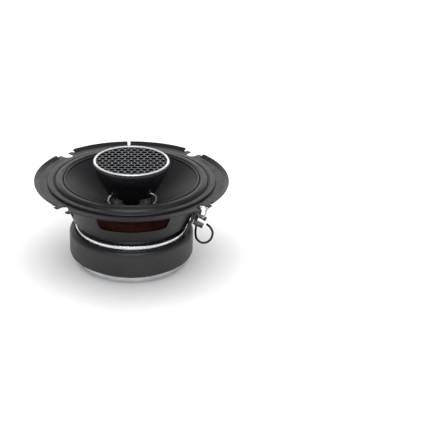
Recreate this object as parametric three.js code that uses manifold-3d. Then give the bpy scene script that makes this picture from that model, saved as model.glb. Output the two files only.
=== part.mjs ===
// A coaxial car speaker of the 5.25 inch (130 mm) class, in millimetres.
// +Z points along the axis towards the listener, and z = 0 is the rear face of the
// back plate, which the speaker stands on. Angles run anticlockwise seen from the front.
import * as THREE from "three";
import { mergeVertices } from "three/addons/utils/BufferGeometryUtils.js";
import Module from "manifold-3d";

const wasm = await Module();
wasm.setup();

// ---- Driving dimensions --------------------------------------------------------------
const GAP = 0.3; // clearance between pieces that touch

// Basket: pressed steel
const FLANGE_R = 66.4;
const FLANGE_TOP = 59.2;
const SHEET = 0.9;
const LIP_FOOT_R = 63.2; // where the turned-up outer lip starts
const LIP_RISE = 1.8;
const SLOT_WIDTH = 7.5;
const SLOT_END_R = 63.0; // centre of the round end of a bolt slot
const SLOT_TURN = 46.5; // angle of the first bolt slot, in degrees
const TAB_HALF = 7.5; // from a bolt slot's centre line to the break-off cut beside it
const CUT_WIDTH = 1.4;
const CUT_DEPTH = 2.8;
const WINDOW_TURN = 1.6; // angle of the first window's centre
const WINDOW_FOOT = 41.0;
const WINDOW_TOP = 55.4;
const WINDOW_HALF_FOOT = 22.2;
const WINDOW_HALF_TOP = 25.8;
const WINDOW_CORNER = 3.7;
const FOOT_R = 36.4;
const FOOT_BORE = 22.0;

// Motor
const RIVET_R = 28.0; // circle of the rivets that hold the basket to the top plate
const RIVET_TURN = 20;
const YOKE_R = 37.8;
const YOKE_THICK = 4.2;
const POLE_R = 12.0;
const MAGNET_R = 38.4;
const MAGNET_BORE = 19.0;
const PLATE_R = 38.9;
const PLATE_BORE = 14.0;
const PLATE_THICK = 5.0;
const PLATE_TOP = 28.0;
const BOOT_R = 43.0;
const BOOT_FOOT = 6.2;
const BOOT_TOP = 24.9; // low enough to leave the top plate's edge in sight

// Moving parts of the bass driver
const FORMER_R = 12.75;
const FORMER_WALL = 0.3;
const COIL_R = 13.55;
const SPIDER_Z = 33.7;
const SPIDER_R = 39.4;
const CONE_NECK_Z = 42.0;
const CONE_RIM_R = 46.1;
const CONE_RIM_Z = 60.6;
const ROLL_IN_R = 46.6;
const ROLL_OUT_R = 52.3;
const GASKET_R = 57.3;

// Tweeter pod on its post
const POST_R = 5.0;
const POD_FOOT = 50.5;
const POD_TOP = 73.0;
const POD_TOP_R = 26.0;
const RING_R = 25.8;
const RING_BORE = 24.2;
const RING_TOP = 74.2;
const GRILLE_TOP = 73.4;
const GRILLE_THICK = 1.2;
const HEX_PITCH = 4.36;
const HEX_WEB = 0.8;

// Terminals, capacitor and leads
const CAPACITOR_R = 4.4;
const CAPACITOR_LONG = 13;
const CAPACITOR_TURN = 15.8;
const CAPACITOR_ORBIT = 45.2; // radius and height of its centre
const CAPACITOR_Z = 31.6;
const TINSEL_R = 0.6;
const HOOK_UP_R = 0.8; // insulated wire from the capacitor to the terminal
const TERMINAL_TURN = -15; // angle of the terminal board
const BOARD_HALF = 11.0;
const BOARD_LOW = -8.6; // from the board's middle, along its own height
const BOARD_HIGH = 12.0;
const BOARD_R = 42.5; // radius of the board's back face at its middle
const BOARD_Z = 36.0;
const LEAN = 22; // how far the basket wall behind the board leans out, in degrees

const ROUND = 36; // segments of a large turned part
const SMALL = 20; // segments of a small turned part

// ---- Finishes ------------------------------------------------------------------------
const FINISHES = {
  blackSteel: { color: 0x3a3a3c, roughness: 0.45, metalness: 0.4 },
  zincSteel: { color: 0xc4c7ca, roughness: 0.25, metalness: 1.0 },
  ferrite: { color: 0x2b2b2d, roughness: 0.7, metalness: 0.1 },
  rubber: { color: 0x2e2e30, roughness: 0.6, metalness: 0.0 },
  paper: { color: 0x262628, roughness: 0.75, metalness: 0.0 },
  kapton: { color: 0x1e1a18, roughness: 0.4, metalness: 0.0 },
  copper: { color: 0xb4652f, roughness: 0.35, metalness: 0.9 },
  spiderCloth: { color: 0x7a3b26, roughness: 0.85, metalness: 0.0 },
  blackPlastic: { color: 0x1c1c1e, roughness: 0.35, metalness: 0.0 },
  silverPaint: { color: 0xd9dadc, roughness: 0.3, metalness: 0.6 },
  grilleGrey: { color: 0x8e9092, roughness: 0.4, metalness: 0.5 },
  silk: { color: 0x35353a, roughness: 0.6, metalness: 0.0 },
  nickel: { color: 0xb9bcc0, roughness: 0.25, metalness: 1.0 },
  tinsel: { color: 0xcfd0d2, roughness: 0.4, metalness: 0.8 },
  brass: { color: 0xb08d4a, roughness: 0.3, metalness: 1.0 },
  felt: { color: 0x202022, roughness: 0.95, metalness: 0.0 },
  sleeve: { color: 0x17171a, roughness: 0.3, metalness: 0.0 },
};

const speaker = new THREE.Group();

function addPart(name, shape, finish) {
  const geometry = shape.isBufferGeometry ? shape : geometryOf(shape);
  const mesh = new THREE.Mesh(geometry, new THREE.MeshStandardMaterial(FINISHES[finish]));
  mesh.name = name;
  speaker.add(mesh);
}

// ---- Solids --------------------------------------------------------------------------
const radians = THREE.MathUtils.degToRad;

// A closed geometry as a solid that can be joined and cut.
function solid(geometry) {
  const bare = geometry.clone();
  bare.deleteAttribute("normal");
  bare.deleteAttribute("uv");
  const merged = mergeVertices(bare, 1e-4);
  const vertProperties = merged.attributes.position.array;
  const triVerts = new Uint32Array(merged.index.array);
  return new wasm.Manifold(new wasm.Mesh({ numProp: 3, vertProperties, triVerts }));
}

function geometryOf(made) {
  const { vertProperties, triVerts } = made.getMesh();
  const geometry = new THREE.BufferGeometry();
  geometry.setAttribute("position", new THREE.BufferAttribute(vertProperties, 3));
  geometry.setIndex(new THREE.BufferAttribute(triVerts, 1));
  geometry.computeVertexNormals();
  return geometry;
}

// A ring turned about Z from a closed outline of [radius, height] points.
function ring(outline, segments = ROUND) {
  const area = outline.reduce((sum, [r, z], i) => {
    const [nextR, nextZ] = outline[(i + 1) % outline.length];
    return sum + r * nextZ - nextR * z;
  }, 0);
  const loop = area > 0 ? [...outline] : [...outline].reverse();
  return turned([...loop, loop[0]], segments);
}

// A solid turned about Z from points that start on the axis at the bottom and end on it.
function turned(points, segments = ROUND) {
  const profile = points.map(([r, z]) => new THREE.Vector2(r, z));
  return new THREE.LatheGeometry(profile, segments).rotateX(Math.PI / 2);
}

function tubeRing(innerR, outerR, low, high, segments = ROUND) {
  return ring([[innerR, low], [outerR, low], [outerR, high], [innerR, high]], segments);
}

function rod(radius, low, high, segments = SMALL) {
  return new THREE.CylinderGeometry(radius, radius, high - low, segments)
    .rotateX(Math.PI / 2)
    .translate(0, 0, (low + high) / 2);
}

function block(x0, x1, y0, y1, z0, z1) {
  return new THREE.BoxGeometry(x1 - x0, y1 - y0, z1 - z0).translate(
    (x0 + x1) / 2,
    (y0 + y1) / 2,
    (z0 + z1) / 2,
  );
}

function turnedAbout(geometry, degrees) {
  return geometry.clone().rotateZ(radians(degrees));
}

// A round or flat wire along a smooth route of [x, y, z] points.
function wire(route, radius, sides, steps) {
  const path = new THREE.CatmullRomCurve3(route.map((p) => new THREE.Vector3(...p)));
  const section = new THREE.Shape();
  for (let i = 0; i < sides; i++) {
    const angle = (2 * Math.PI * i) / sides;
    const [x, y] = [radius * Math.cos(angle), radius * Math.sin(angle)];
    i ? section.lineTo(x, y) : section.moveTo(x, y);
  }
  section.closePath();
  return new THREE.ExtrudeGeometry(section, { steps, extrudePath: path, bevelEnabled: false });
}

// ---- Basket --------------------------------------------------------------------------
const QUARTERS = [0, 90, 180, 270];

function basketBody() {
  const flangeLow = FLANGE_TOP - SHEET;
  const footLow = PLATE_TOP + GAP;
  return solid(
    ring([
      [FOOT_BORE, footLow],
      [FOOT_R, footLow],
      [FOOT_R, 30.5],
      [37.1, 31.3],
      [39.4, 31.5],
      [40.4, 32.4],
      [41.5, 35.1],
      [43.2, 39.0],
      [45.0, 43.0],
      [47.4, 47.5],
      [50.2, 52.0],
      [53.2, 56.0],
      [55.8, 57.9],
      [57.6, flangeLow],
      [LIP_FOOT_R - 1.2, flangeLow],
      [LIP_FOOT_R - 1.2, FLANGE_TOP],
      [53.4, FLANGE_TOP],
      [51.9, 56.9],
      [48.9, 52.6],
      [46.1, 48.1],
      [43.8, 43.6],
      [42.0, 39.6],
      [40.2, 35.6],
      [39.8, 33.2],
      [36.0, 33.2],
      [34.8, footLow + 1.2],
      [FOOT_BORE, footLow + 1.2],
    ]),
  );
}

// The turned-up lip runs round the flange, and the tabs beside the bolt slots stay flat.
function flangeEdge() {
  const low = FLANGE_TOP - SHEET;
  const inner = LIP_FOOT_R - 1.9;
  const lip = solid(
    ring([
      [inner, low],
      [LIP_FOOT_R, low],
      [FLANGE_R, low + LIP_RISE],
      [FLANGE_R, FLANGE_TOP + LIP_RISE],
      [LIP_FOOT_R, FLANGE_TOP],
      [inner, FLANGE_TOP],
    ]),
  );
  const flat = solid(tubeRing(inner, FLANGE_R, low, FLANGE_TOP));
  let tabZones = null;
  for (const quarter of QUARTERS) {
    const zone = turnedAbout(block(55, 70, -TAB_HALF, TAB_HALF, 50, 70), SLOT_TURN + quarter);
    tabZones = tabZones ? tabZones.add(solid(zone)) : solid(zone);
  }
  return lip.subtract(tabZones).add(flat.intersect(tabZones));
}

function boltSlot(angle) {
  const half = SLOT_WIDTH / 2;
  const shape = new THREE.Shape();
  shape.moveTo(70, -half);
  shape.absarc(SLOT_END_R, 0, half, -Math.PI / 2, Math.PI / 2, true);
  shape.lineTo(70, half);
  const cut = new THREE.ExtrudeGeometry(shape, { depth: 20, bevelEnabled: false, curveSegments: 12 });
  return solid(turnedAbout(cut.translate(0, 0, 50), angle));
}

function window() {
  const shape = new THREE.Shape();
  const top = WINDOW_TOP;
  const low = WINDOW_FOOT;
  const c = WINDOW_CORNER;
  shape.moveTo(-WINDOW_HALF_FOOT + c, low);
  shape.lineTo(WINDOW_HALF_FOOT - c, low);
  shape.quadraticCurveTo(WINDOW_HALF_FOOT, low, WINDOW_HALF_FOOT + 0.8, low + c);
  shape.lineTo(WINDOW_HALF_TOP, top);
  shape.lineTo(-WINDOW_HALF_TOP, top);
  shape.lineTo(-WINDOW_HALF_FOOT - 0.8, low + c);
  shape.quadraticCurveTo(-WINDOW_HALF_FOOT, low, -WINDOW_HALF_FOOT + c, low);
  const cut = new THREE.ExtrudeGeometry(shape, { depth: 30, bevelEnabled: false, curveSegments: 3 });
  return cut.rotateX(Math.PI / 2).rotateZ(Math.PI / 2).translate(30, 0, 0);
}

function basket() {
  let made = basketBody().add(flangeEdge());
  for (const quarter of QUARTERS) {
    made = made.subtract(boltSlot(SLOT_TURN + quarter));
    for (const side of [-TAB_HALF, TAB_HALF]) {
      const cut = block(FLANGE_R - CUT_DEPTH, 70, side - CUT_WIDTH / 2, side + CUT_WIDTH / 2, 50, 70);
      made = made.subtract(solid(turnedAbout(cut, SLOT_TURN + quarter)));
    }
    made = made.subtract(solid(turnedAbout(window(), WINDOW_TURN + quarter)));
    const rivetHole = rod(1.8, 20, 30, 8).translate(RIVET_R, 0, 0);
    made = made.subtract(solid(turnedAbout(rivetHole, RIVET_TURN + quarter)));
  }
  const nick = turnedAbout(block(FLANGE_R - 3.8, 70, -1, 1, 50, 70), 91.6);
  return made.subtract(solid(nick)).subtract(solid(boardRivetHole()));
}

// ---- Bass driver ---------------------------------------------------------------------
function conePoints(offset) {
  const neckR = FORMER_R + GAP;
  const points = [];
  for (let i = 0; i <= 5; i++) {
    const t = i / 5;
    const r = neckR + t * (43.4 - neckR);
    const z = CONE_NECK_Z + (CONE_RIM_Z - 0.6 - CONE_NECK_Z) * (0.82 * t + 0.18 * t * t);
    points.push([r, z + offset]);
  }
  return points;
}

function cone() {
  const thick = 0.9;
  return ring([
    ...conePoints(-thick),
    [44.6, CONE_RIM_Z - thick],
    [CONE_RIM_R, CONE_RIM_Z - thick],
    [CONE_RIM_R, CONE_RIM_Z],
    [44.2, CONE_RIM_Z],
    ...conePoints(0).reverse(),
  ]);
}

function surround() {
  const landZ = CONE_RIM_Z + GAP;
  const low = FLANGE_TOP + GAP;
  return ring([
    [44.8, landZ],
    [ROLL_IN_R - 0.3, landZ],
    [ROLL_IN_R, landZ - 1.1],
    [47.9, landZ + 0.2],
    [50.4, landZ + 0.3],
    [ROLL_OUT_R - 0.1, low - 0.6],
    [53.0, low - 0.6],
    [53.6, low],
    [GASKET_R, low],
    [GASKET_R, low + 0.5],
    [GASKET_R - 0.5, low + 0.9],
    [53.5, low + 0.9],
    [52.9, low],
    [ROLL_OUT_R + 0.1, low],
    [50.8, landZ + 0.9],
    [47.5, landZ + 0.8],
    [ROLL_IN_R, landZ - 0.5],
    [45.8, landZ + 0.6],
    [45.1, landZ + 0.6],
  ]);
}

function spider() {
  const inner = FORMER_R + GAP;
  const wave = [[15.6, 0], [17.6, 1.5], [20.8, -1.5], [24.0, 1.5], [27.2, -1.5], [30.4, 1.5], [33.2, -1.2], [35.0, 0]];
  const top = wave.map(([r, rise]) => [r, SPIDER_Z + 1.1 + rise]);
  const under = wave.map(([r, rise]) => [r, SPIDER_Z + 0.5 + rise]).reverse();
  return ring([
    [inner, SPIDER_Z + 1.1],
    ...top,
    [36.4, SPIDER_Z + 0.6],
    [SPIDER_R, SPIDER_Z + 0.6],
    [SPIDER_R, SPIDER_Z - 0.2],
    [36.2, SPIDER_Z - 0.2],
    ...under,
    [inner, SPIDER_Z + 0.5],
  ]);
}

// ---- Motor ---------------------------------------------------------------------------
function yoke() {
  return ring([
    [4.8, 0],
    [YOKE_R - 0.6, 0],
    [YOKE_R, 0.6],
    [YOKE_R, YOKE_THICK - 0.5],
    [YOKE_R - 0.5, YOKE_THICK],
    [POLE_R, YOKE_THICK],
    [POLE_R, PLATE_TOP - 0.6],
    [POLE_R - 0.8, PLATE_TOP],
    [2.4, PLATE_TOP],
    [2.4, 3.4],
    [4.8, 3.4],
  ]);
}

function topPlate() {
  const low = PLATE_TOP - PLATE_THICK;
  let plate = solid(
    ring([
      [PLATE_BORE, low],
      [PLATE_R, low],
      [PLATE_R, PLATE_TOP - 0.4],
      [PLATE_R - 0.4, PLATE_TOP],
      [PLATE_BORE, PLATE_TOP],
    ]),
  );
  for (const quarter of QUARTERS) {
    const hole = rod(1.8, 20, 30, 8).translate(RIVET_R, 0, 0);
    plate = plate.subtract(solid(turnedAbout(hole, RIVET_TURN + quarter)));
  }
  return plate;
}

function boot() {
  const inner = PLATE_R + GAP;
  return ring([
    [inner, BOOT_FOOT],
    [BOOT_R - 1.8, BOOT_FOOT],
    [BOOT_R - 0.5, BOOT_FOOT + 0.6],
    [BOOT_R, BOOT_FOOT + 1.8],
    [BOOT_R, BOOT_TOP - 3.2],
    [BOOT_R - 0.4, BOOT_TOP - 1.6],
    [BOOT_R - 1.3, BOOT_TOP - 0.4],
    [BOOT_R - 2.2, BOOT_TOP],
    [inner, BOOT_TOP],
  ]);
}

function plateRivet() {
  const seat = PLATE_TOP + GAP + 1.2 + GAP;
  return turned([
    [0, PLATE_TOP - PLATE_THICK],
    [1.5, PLATE_TOP - PLATE_THICK],
    [1.5, seat],
    [2.9, seat],
    [2.5, seat + 0.7],
    [0, seat + 1],
  ], 8);
}

// ---- Tweeter -------------------------------------------------------------------------
// A long screw from the rear clamps the post and the pod to the pole.
function postScrew() {
  return turned([
    [0, 0.8],
    [3.6, 0.8],
    [4.1, 1.4],
    [4.1, 3.1],
    [1.9, 3.1],
    [1.9, 55.8],
    [0, 55.8],
  ], 12);
}

function postNut() {
  const hexagon = rod(4.1, POD_FOOT + 2.1, POD_FOOT + 4.6, 6);
  return solid(hexagon).subtract(solid(rod(2.2, 40, 60, 16)));
}

function pod() {
  return ring([
    [2.4, POD_FOOT],
    [15.6, POD_FOOT],
    [17.0, POD_FOOT + 1.2],
    [18.8, 55.2],
    [21.3, 60.0],
    [23.6, 64.4],
    [25.3, 68.2],
    [POD_TOP_R, POD_TOP - 2],
    [POD_TOP_R, POD_TOP],
    [24.5, POD_TOP],
    [24.2, 69.6],
    [22.4, 66.2],
    [20.6, 66.2],
    [19.2, 60.4],
    [16.4, POD_FOOT + 1.8],
    [2.4, POD_FOOT + 1.8],
  ]);
}

function trimRing() {
  return ring([
    [RING_BORE, POD_TOP + GAP],
    [RING_R, POD_TOP + GAP],
    [RING_R, RING_TOP - 0.5],
    [RING_R - 0.5, RING_TOP],
    [RING_BORE + 0.5, RING_TOP],
    [RING_BORE, RING_TOP - 0.4],
  ]);
}

function grille() {
  const outer = RING_BORE - GAP;
  const holeR = (HEX_PITCH - HEX_WEB) / Math.sqrt(3);
  const rowStep = (HEX_PITCH * Math.sqrt(3)) / 2;
  const disc = new THREE.Shape().absarc(0, 0, outer, 0, 2 * Math.PI);
  for (let row = -6; row <= 6; row++) {
    for (let column = -7; column <= 7; column++) {
      const x = (column + (row % 2 ? 0.5 : 0)) * HEX_PITCH;
      const y = row * rowStep;
      if (Math.hypot(x, y) + holeR > outer - 0.5) continue;
      const hole = new THREE.Path();
      for (let corner = 0; corner < 6; corner++) {
        const angle = radians(30 - 60 * corner);
        const point = [x + holeR * Math.cos(angle), y + holeR * Math.sin(angle)];
        corner ? hole.lineTo(...point) : hole.moveTo(...point);
      }
      hole.closePath();
      disc.holes.push(hole);
    }
  }
  const plate = { depth: GRILLE_THICK, bevelEnabled: false, curveSegments: ROUND };
  return new THREE.ExtrudeGeometry(disc, plate).translate(0, 0, GRILLE_TOP - GRILLE_THICK);
}

function faceplate() {
  return ring([
    [14.6, 66.5],
    [21.9, 66.5],
    [23.0, 69.2],
    [23.4, 70.4],
    [22.0, 70.4],
    [20.6, 68.4],
    [16.2, 67.5],
    [14.6, 67.5],
  ], SMALL);
}

function dome() {
  const shell = [];
  const inside = [];
  for (let i = 0; i <= 4; i++) {
    const angle = radians(12 + (78 * i) / 4);
    const r = 12.9 * Math.cos(angle);
    shell.push([i === 4 ? 0 : r, 66.4 + 4.6 * Math.sin(angle)]);
    inside.push([i === 4 ? 0 : r - 0.5, 65.9 + 4.6 * Math.sin(angle)]);
  }
  return turned([...inside.reverse(), [12.1, 65.9], [14.2, 65.9], [14.2, 66.5], [13.2, 66.9], ...shell], SMALL);
}

function tweeterCup() {
  return turned([
    [0, 57.4],
    [15.8, 57.4],
    [15.8, 64.8],
    [13.6, 64.8],
    [13.6, 59.2],
    [0, 59.2],
  ], SMALL);
}

// ---- Terminals and leads -------------------------------------------------------------
// Pieces of the terminal group are drawn upright against the board's back face, with +X
// pointing out of the speaker, then leaned and turned to lie along the basket wall.

function onBoard(geometry) {
  return geometry
    .rotateY(radians(LEAN))
    .translate(BOARD_R, 0, BOARD_Z)
    .rotateZ(radians(TERMINAL_TURN));
}

function boardRivetHole() {
  return onBoard(rod(1.4, -8, 8, 8).rotateY(Math.PI / 2).translate(0, 0.3, 0.7));
}

function board() {
  let made = solid(block(0, 2, -BOARD_HALF, BOARD_HALF, BOARD_LOW, BOARD_HIGH));
  for (const [y, z] of [[-5.6, 4], [5.5, 4], [0.3, 0.7]]) {
    made = made.subtract(solid(rod(1.4, -8, 8, 8).rotateY(Math.PI / 2).translate(0, y, z)));
  }
  return onBoard(geometryOf(made));
}

function blade(side, width) {
  const half = width / 2;
  const flat = solid(block(2.3, 3.1, side - half, side + half, 1, 7));
  const tongue = solid(block(2.3, 9.5, side - half, side + half, 0.6, 1.4));
  const hole = rod(1.4, -8, 8, 8).rotateY(Math.PI / 2).translate(0, side, 4);
  return onBoard(geometryOf(flat.add(tongue).subtract(solid(hole))));
}

// A rivet through the board: its tail is inside the speaker, its head outside along +X.
const FLUSH_TAIL = [[1.1, 0.1]];
const HEADED_TAIL = [[2.1, -3.6], [2.1, -3.0], [1.1, -3.0]];

function boardRivet(tail, head, y, z) {
  const rivet = turned([
    [0, tail[0][1]],
    ...tail,
    [1.1, head],
    [2.1, head],
    [1.5, head + 0.9],
    [0, head + 0.9],
  ], 8);
  return onBoard(rivet.rotateY(Math.PI / 2).translate(0, y, z));
}

function capacitor() {
  return new THREE.CylinderGeometry(CAPACITOR_R, CAPACITOR_R, CAPACITOR_LONG, 16)
    .translate(CAPACITOR_ORBIT, 0, CAPACITOR_Z)
    .rotateZ(radians(CAPACITOR_TURN));
}

// Routes are [angle, radius, height] round the axis.
function around(route) {
  return route.map(([angle, r, z]) => [r * Math.cos(radians(angle)), r * Math.sin(radians(angle)), z]);
}

const CAPACITOR_LEAD = [
  [6.9, 45.2, 31.6],
  [1, 45.0, 29.0],
  [-5, 44.9, 26.0],
  [-10, 44.9, 23.4],
  [-14.5, 46.2, 20.5],
  [-16.2, 49.6, 18.6],
  [-15.8, 53.4, 18.8],
  [-14.4, 56.3, 21.3],
  [-13.2, 57.2, 25.4],
  [-12.4, 55.4, 28.9],
  [-11.0, 52.6, 30.6],
];

// The bass driver's tinsel leads leave the back of the cone, pass out through a window
// and come down over the board to the blades.
function tinselLead(side) {
  const route = [
    [24.8, side * 0.5, 45.6],
    [29, side * 0.55, 42.8],
    [35, side * 0.6, 42.2],
    [41, side * 0.62, 45.0],
    [46.5, side * 0.65, 49.6],
    [51, side * 0.8, 50.2],
    [53.6, side * 0.95, 46.6],
    [53.2, side, 42.4],
    [50.9, side, 39.4],
  ];
  return turnedAbout(wire(route, TINSEL_R, 8, 12), TERMINAL_TURN);
}

// The tweeter's leads bow out from the foot of the pod and end on the cone.
const TWEETER_LEAD_LEFT = [
  [-139.5, 18.2, 53.0],
  [-140.5, 19.6, 52.0],
  [-141.0, 20.3, 49.9],
  [-140.5, 19.6, 47.6],
  [-139.5, 18.4, 45.8],
];
const TWEETER_LEAD_RIGHT = [
  [-50.5, 20.0, 56.3],
  [-45.0, 21.0, 55.0],
  [-38.5, 21.2, 52.2],
  [-37.5, 20.4, 49.0],
  [-39.5, 18.6, 45.9],
];

// ---- Assembly ------------------------------------------------------------------------
addPart("basket", basket(), "blackSteel");
addPart("surround", surround(), "rubber");
addPart("cone", cone(), "paper");
addPart("voice_coil_former", tubeRing(FORMER_R - FORMER_WALL, FORMER_R, 17.5, 43.6, SMALL), "kapton");
addPart("voice_coil", tubeRing(FORMER_R + GAP, COIL_R, 19.5, 31.5, SMALL), "copper");
addPart("spider", spider(), "spiderCloth");
addPart("dust_ring", tubeRing(POST_R + 1.0, FORMER_R - FORMER_WALL - GAP, 41.2, 42.6, SMALL), "felt");
addPart("back_plate_and_pole", yoke(), "zincSteel");
const magnetLow = YOKE_THICK + GAP;
const magnetHigh = PLATE_TOP - PLATE_THICK - GAP;
addPart("ferrite_magnet", tubeRing(MAGNET_BORE, MAGNET_R, magnetLow, magnetHigh), "ferrite");
addPart("top_plate", topPlate(), "zincSteel");
addPart("magnet_boot", boot(), "rubber");
QUARTERS.forEach((quarter, i) => {
  const rivet = plateRivet().translate(RIVET_R, 0, 0);
  addPart(`plate_rivet_${i + 1}`, turnedAbout(rivet, RIVET_TURN + quarter), "zincSteel");
});
addPart("tweeter_post", tubeRing(2.4, POST_R, PLATE_TOP + GAP, POD_FOOT - GAP, SMALL), "blackSteel");
addPart("post_screw", postScrew(), "zincSteel");
addPart("post_nut", postNut(), "zincSteel");
addPart("tweeter_pod", pod(), "blackPlastic");
addPart("trim_ring", trimRing(), "silverPaint");
addPart("honeycomb_grille", grille(), "grilleGrey");
addPart("tweeter_faceplate", faceplate(), "blackPlastic");
addPart("tweeter_dome", dome(), "silk");
addPart("tweeter_coil", tubeRing(12.3, 12.9, 61.6, 65.6, SMALL), "copper");
addPart("tweeter_cup", tweeterCup(), "nickel");
addPart("tweeter_magnet", rod(10.6, 59.5, 62.4), "nickel");
addPart("tweeter_pole_disc", rod(11.6, 62.7, 64.7), "zincSteel");
addPart("terminal_board", board(), "blackPlastic");
addPart("terminal_blade_wide", blade(-5.6, 6.3), "brass");
addPart("terminal_blade_narrow", blade(5.5, 4.8), "brass");
addPart("blade_rivet_wide", boardRivet(FLUSH_TAIL, 3.4, -5.6, 4), "brass");
addPart("blade_rivet_narrow", boardRivet(FLUSH_TAIL, 3.4, 5.5, 4), "brass");
addPart("board_rivet", boardRivet(HEADED_TAIL, 2.3, 0.3, 0.7), "zincSteel");
addPart("tweeter_lead_left", wire(around(TWEETER_LEAD_LEFT), TINSEL_R, 8, 6), "tinsel");
addPart("tweeter_lead_right", wire(around(TWEETER_LEAD_RIGHT), TINSEL_R, 8, 6), "tinsel");
addPart("tinsel_lead_front", tinselLead(-5.5), "tinsel");
addPart("tinsel_lead_rear", tinselLead(5.5), "tinsel");
addPart("crossover_capacitor", capacitor(), "sleeve");
addPart("capacitor_lead", wire(around(CAPACITOR_LEAD), HOOK_UP_R, 8, 14), "sleeve");

export default speaker;
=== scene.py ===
import math

import bmesh
import bpy
from bpy.props import FloatProperty, FloatVectorProperty, PointerProperty
from mathutils import Matrix, Vector


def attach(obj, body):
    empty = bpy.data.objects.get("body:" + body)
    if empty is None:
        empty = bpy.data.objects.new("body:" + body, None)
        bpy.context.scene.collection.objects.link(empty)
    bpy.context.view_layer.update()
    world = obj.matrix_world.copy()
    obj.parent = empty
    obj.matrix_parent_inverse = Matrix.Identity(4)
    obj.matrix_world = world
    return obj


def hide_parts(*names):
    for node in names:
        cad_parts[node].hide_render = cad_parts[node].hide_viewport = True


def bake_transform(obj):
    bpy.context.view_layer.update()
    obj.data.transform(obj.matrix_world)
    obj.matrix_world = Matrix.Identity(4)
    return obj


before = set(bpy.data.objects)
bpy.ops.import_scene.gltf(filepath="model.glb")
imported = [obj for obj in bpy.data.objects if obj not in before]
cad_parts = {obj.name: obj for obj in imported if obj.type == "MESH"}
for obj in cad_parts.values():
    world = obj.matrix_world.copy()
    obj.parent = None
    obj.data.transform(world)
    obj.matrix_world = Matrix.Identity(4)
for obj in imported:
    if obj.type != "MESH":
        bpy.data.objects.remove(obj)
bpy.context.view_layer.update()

bl_info = {
    "name": "Coaxial Speaker",
    "version": (1, 0, 0),
    "blender": (4, 5, 0),
    "location": "View3D > Sidebar > Speaker",
    "description": "Builds the visible pieces of a coaxial car speaker round its frame",
    "category": "Object",
}

MM = 0.001
FRAME, CONE, DOME = "frame", "cone", "tweeter_dome"
AROUND = 160  # steps round a large turned piece
QUARTERS = (0, 90, 180, 270)
SLOT_TURN = 46.5  # degrees to the first bolt slot
WINDOW_TURN = 1.6  # degrees to the first window's centre
TERMINAL_TURN = -15  # degrees to the terminal board
RIVET_TURN = 20  # degrees to the first rivet of the top plate


# ---- Colours and nodes ---------------------------------------------------------------
def linear(hex_code, alpha=1.0):
    """An sRGB hex code as a linear colour."""
    channels = [int(hex_code[i : i + 2], 16) / 255 for i in (1, 3, 5)]
    return (
        *(c / 12.92 if c <= 0.04045 else ((c + 0.055) / 1.055) ** 2.4 for c in channels),
        alpha,
    )


def add(tree, kind, settings=None, inputs=None):
    """Adds a node, with its settings, and its inputs set to a value or linked to a socket."""
    node = tree.nodes.new(kind)
    for name, value in (settings or {}).items():
        setattr(node, name, value)
    for name, value in (inputs or {}).items():
        if isinstance(value, bpy.types.NodeSocket):
            tree.links.new(value, node.inputs[name])
        else:
            node.inputs[name].default_value = value
    return node


def surface(name, shader):
    """A new material with one Principled shader. Returns it with its tree, shader and place."""
    material = bpy.data.materials.new(name)
    material.use_nodes = True
    tree = material.node_tree
    tree.nodes.clear()
    bsdf = add(tree, "ShaderNodeBsdfPrincipled", inputs=shader)
    add(tree, "ShaderNodeOutputMaterial", inputs={"Surface": bsdf.outputs["BSDF"]})
    place = add(tree, "ShaderNodeTexCoord").outputs["Object"]
    return material, tree, bsdf, place


def noise(tree, place, size_mm, detail=3.0, roughness=0.5):
    """Noise whose blotches are size_mm across."""
    values = {"Vector": place, "Scale": 1 / (size_mm * MM), "Detail": detail, "Roughness": roughness}
    return add(tree, "ShaderNodeTexNoise", inputs=values).outputs["Fac"]


def between(tree, factor, low, high):
    """A number from low to high as factor goes over the middle of its range."""
    limits = {"Value": factor, "From Min": 0.3, "From Max": 0.7, "To Min": low, "To Max": high}
    return add(tree, "ShaderNodeMapRange", inputs=limits).outputs["Result"]


def tint(tree, factor, low, high):
    """A colour from one hex code to another."""
    ramp = add(tree, "ShaderNodeValToRGB", inputs={"Fac": factor})
    for element, place, code in zip(ramp.color_ramp.elements, (0.3, 0.7), (low, high)):
        element.position = place
        element.color = linear(code)
    return ramp.outputs["Color"]


def relief(tree, height, depth_mm, below=None):
    """A bump of that depth, over another bump if one is given."""
    values = {"Height": height, "Distance": depth_mm * MM, "Strength": 1.0}
    if below is not None:
        values["Normal"] = below
    return add(tree, "ShaderNodeBump", inputs=values).outputs["Normal"]


def rings(tree, place, spacing_mm):
    """Fine circles round the Z axis, as a lathe tool leaves."""
    flat = add(tree, "ShaderNodeVectorMath", {"operation": "MULTIPLY"}, {0: place, 1: (1, 1, 0)})
    radius = add(tree, "ShaderNodeVectorMath", {"operation": "LENGTH"}, {0: flat.outputs[0]})
    turns = add(
        tree,
        "ShaderNodeMath",
        {"operation": "MULTIPLY"},
        {0: radius.outputs["Value"], 1: 2 * math.pi / (spacing_mm * MM)},
    )
    wave = add(tree, "ShaderNodeMath", {"operation": "SINE"}, {0: turns.outputs[0]})
    lifted = add(tree, "ShaderNodeMath", {"operation": "MULTIPLY_ADD"}, {0: wave.outputs[0], 1: 0.5, 2: 0.5})
    return lifted.outputs[0]


def weave(tree, place, thread_mm):
    """Over-and-under threads along X and Y."""
    waves = []
    for axis in "XY":
        settings = {"wave_type": "BANDS", "bands_direction": axis, "wave_profile": "SIN"}
        values = {"Vector": place, "Scale": 0.314 / (2 * thread_mm * MM), "Distortion": 0.6, "Detail": 1.0}
        waves.append(add(tree, "ShaderNodeTexWave", settings, values).outputs["Fac"])
    return add(tree, "ShaderNodeMath", {"operation": "MAXIMUM"}, {0: waves[0], 1: waves[1]}).outputs[0]


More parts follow.
